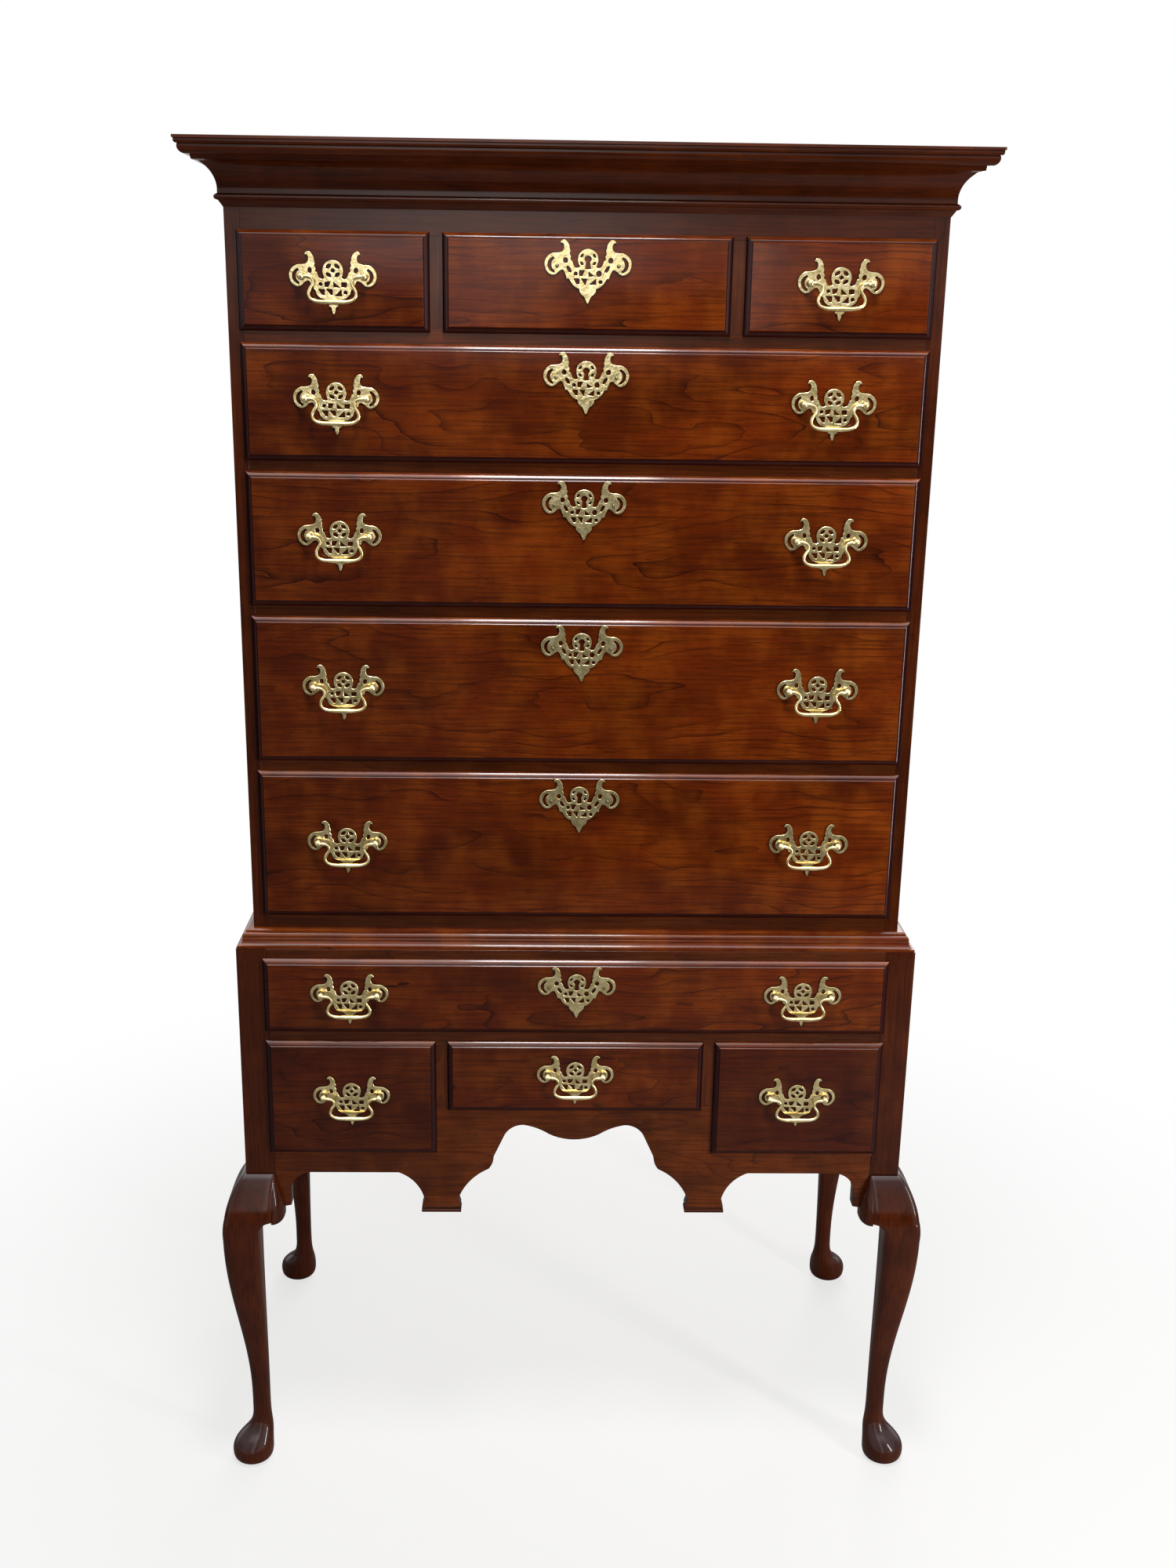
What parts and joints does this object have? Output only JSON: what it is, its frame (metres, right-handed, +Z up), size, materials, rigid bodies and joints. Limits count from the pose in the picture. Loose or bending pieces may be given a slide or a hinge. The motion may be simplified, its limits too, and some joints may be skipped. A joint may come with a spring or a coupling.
{
  "type": "highboy",
  "caption": "Tall chest of drawers on a cabriole-leg stand, with lipped drawers that slide out, swinging brass bail pulls, a flat moulded cornice and a scalloped apron.",
  "frame": {"origin": "on the floor under the middle of the whole piece", "axes": "+X to the right as seen from the front, +Y to the back, +Z up; the drawers open towards -Y"},
  "size_m": [0.995, 0.529, 1.828],
  "materials": {
    "case_wood": "aged cherry, hand-rubbed shellac",
    "drawer_wood": "aged cherry fronts with plain pine sides",
    "inner_wood": "unfinished pine, darkened with age",
    "brass": "cast, pierced and polished"
  },
  "bodies": {
    "case": {"cornice": "case_wood", "drop_pads": "case_wood", "frieze_board": "case_wood", "front_apron": "case_wood", "knee_blocks": "case_wood", "leg_front_left": "case_wood", "leg_front_right": "case_wood", "leg_rear_left": "case_wood", "leg_rear_right": "case_wood", "lower_back": "inner_wood", "lower_bearers": "inner_wood", "lower_rails": "case_wood", "lower_runners": "inner_wood", "lower_side_left": "case_wood", "lower_side_right": "case_wood", "upper_back": "inner_wood", "upper_bottom": "inner_wood", "upper_rails": "case_wood", "upper_runners": "inner_wood", "upper_side_left": "case_wood", "upper_side_right": "case_wood", "upper_top": "case_wood", "waist_moulding": "case_wood"},
    "drawer_fifth": {"drawer_fifth": "drawer_wood", "brasses_fifth": "brass"},
    "drawer_fourth": {"drawer_fourth": "drawer_wood", "brasses_fourth": "brass"},
    "drawer_lower_centre": {"drawer_lower_centre": "drawer_wood", "brasses_lower_centre": "brass"},
    "drawer_lower_left": {"drawer_lower_left": "drawer_wood", "brasses_lower_left": "brass"},
    "drawer_lower_long": {"drawer_lower_long": "drawer_wood", "brasses_lower_long": "brass"},
    "drawer_lower_right": {"drawer_lower_right": "drawer_wood", "brasses_lower_right": "brass"},
    "drawer_second": {"drawer_second": "drawer_wood", "brasses_second": "brass"},
    "drawer_third": {"drawer_third": "drawer_wood", "brasses_third": "brass"},
    "drawer_top_centre": {"drawer_top_centre": "drawer_wood", "brasses_top_centre": "brass"},
    "drawer_top_left": {"drawer_top_left": "drawer_wood", "brasses_top_left": "brass"},
    "drawer_top_right": {"drawer_top_right": "drawer_wood", "brasses_top_right": "brass"},
    "bail_fifth_left": {"bail_fifth_left": "brass"},
    "bail_fifth_right": {"bail_fifth_right": "brass"},
    "bail_fourth_left": {"bail_fourth_left": "brass"},
    "bail_fourth_right": {"bail_fourth_right": "brass"},
    "bail_lower_centre": {"bail_lower_centre": "brass"},
    "bail_lower_left": {"bail_lower_left": "brass"},
    "bail_lower_long_left": {"bail_lower_long_left": "brass"},
    "bail_lower_long_right": {"bail_lower_long_right": "brass"},
    "bail_lower_right": {"bail_lower_right": "brass"},
    "bail_second_left": {"bail_second_left": "brass"},
    "bail_second_right": {"bail_second_right": "brass"},
    "bail_third_left": {"bail_third_left": "brass"},
    "bail_third_right": {"bail_third_right": "brass"},
    "bail_top_left": {"bail_top_left": "brass"},
    "bail_top_right": {"bail_top_right": "brass"}
  },
  "joints": [
    {"name": "drawer_fifth_slide", "type": "slide", "parent": "case", "child": "drawer_fifth", "axis": [0, -1, 0], "range_m": [0, 0.3]},
    {"name": "drawer_fourth_slide", "type": "slide", "parent": "case", "child": "drawer_fourth", "axis": [0, -1, 0], "range_m": [0, 0.3]},
    {"name": "drawer_lower_centre_slide", "type": "slide", "parent": "case", "child": "drawer_lower_centre", "axis": [0, -1, 0], "range_m": [0, 0.3]},
    {"name": "drawer_lower_left_slide", "type": "slide", "parent": "case", "child": "drawer_lower_left", "axis": [0, -1, 0], "range_m": [0, 0.3]},
    {"name": "drawer_lower_long_slide", "type": "slide", "parent": "case", "child": "drawer_lower_long", "axis": [0, -1, 0], "range_m": [0, 0.3]},
    {"name": "drawer_lower_right_slide", "type": "slide", "parent": "case", "child": "drawer_lower_right", "axis": [0, -1, 0], "range_m": [0, 0.3]},
    {"name": "drawer_second_slide", "type": "slide", "parent": "case", "child": "drawer_second", "axis": [0, -1, 0], "range_m": [0, 0.3]},
    {"name": "drawer_third_slide", "type": "slide", "parent": "case", "child": "drawer_third", "axis": [0, -1, 0], "range_m": [0, 0.3]},
    {"name": "drawer_top_centre_slide", "type": "slide", "parent": "case", "child": "drawer_top_centre", "axis": [0, -1, 0], "range_m": [0, 0.3]},
    {"name": "drawer_top_left_slide", "type": "slide", "parent": "case", "child": "drawer_top_left", "axis": [0, -1, 0], "range_m": [0, 0.3]},
    {"name": "drawer_top_right_slide", "type": "slide", "parent": "case", "child": "drawer_top_right", "axis": [0, -1, 0], "range_m": [0, 0.3]},
    {"name": "bail_fifth_left_swing", "type": "hinge", "parent": "drawer_fifth", "child": "bail_fifth_left", "pos_m": [-0.309, -0.2261, 0.9525], "axis": [-1, 0, 0], "range_deg": [0, 100]},
    {"name": "bail_fifth_right_swing", "type": "hinge", "parent": "drawer_fifth", "child": "bail_fifth_right", "pos_m": [0.309, -0.2261, 0.9525], "axis": [-1, 0, 0], "range_deg": [0, 100]},
    {"name": "bail_fourth_left_swing", "type": "hinge", "parent": "drawer_fourth", "child": "bail_fourth_left", "pos_m": [-0.309, -0.2261, 1.1645], "axis": [-1, 0, 0], "range_deg": [0, 100]},
    {"name": "bail_fourth_right_swing", "type": "hinge", "parent": "drawer_fourth", "child": "bail_fourth_right", "pos_m": [0.309, -0.2261, 1.1645], "axis": [-1, 0, 0], "range_deg": [0, 100]},
    {"name": "bail_lower_centre_swing", "type": "hinge", "parent": "drawer_lower_centre", "child": "bail_lower_centre", "pos_m": [0, -0.2481, 0.6225], "axis": [-1, 0, 0], "range_deg": [0, 100]},
    {"name": "bail_lower_left_swing", "type": "hinge", "parent": "drawer_lower_left", "child": "bail_lower_left", "pos_m": [-0.30925, -0.2481, 0.5895], "axis": [-1, 0, 0], "range_deg": [0, 100]},
    {"name": "bail_lower_long_left_swing", "type": "hinge", "parent": "drawer_lower_long", "child": "bail_lower_long_left", "pos_m": [-0.309, -0.2481, 0.742], "axis": [-1, 0, 0], "range_deg": [0, 100]},
    {"name": "bail_lower_long_right_swing", "type": "hinge", "parent": "drawer_lower_long", "child": "bail_lower_long_right", "pos_m": [0.309, -0.2481, 0.742], "axis": [-1, 0, 0], "range_deg": [0, 100]},
    {"name": "bail_lower_right_swing", "type": "hinge", "parent": "drawer_lower_right", "child": "bail_lower_right", "pos_m": [0.30925, -0.2481, 0.5895], "axis": [-1, 0, 0], "range_deg": [0, 100]},
    {"name": "bail_second_left_swing", "type": "hinge", "parent": "drawer_second", "child": "bail_second_left", "pos_m": [-0.309, -0.2261, 1.5295], "axis": [-1, 0, 0], "range_deg": [0, 100]},
    {"name": "bail_second_right_swing", "type": "hinge", "parent": "drawer_second", "child": "bail_second_right", "pos_m": [0.309, -0.2261, 1.5295], "axis": [-1, 0, 0], "range_deg": [0, 100]},
    {"name": "bail_third_left_swing", "type": "hinge", "parent": "drawer_third", "child": "bail_third_left", "pos_m": [-0.309, -0.2261, 1.3595], "axis": [-1, 0, 0], "range_deg": [0, 100]},
    {"name": "bail_third_right_swing", "type": "hinge", "parent": "drawer_third", "child": "bail_third_right", "pos_m": [0.309, -0.2261, 1.3595], "axis": [-1, 0, 0], "range_deg": [0, 100]},
    {"name": "bail_top_left_swing", "type": "hinge", "parent": "drawer_top_left", "child": "bail_top_left", "pos_m": [-0.30925, -0.2261, 1.6735], "axis": [-1, 0, 0], "range_deg": [0, 100]},
    {"name": "bail_top_right_swing", "type": "hinge", "parent": "drawer_top_right", "child": "bail_top_right", "pos_m": [0.30925, -0.2261, 1.6735], "axis": [-1, 0, 0], "range_deg": [0, 100]}
  ]
}
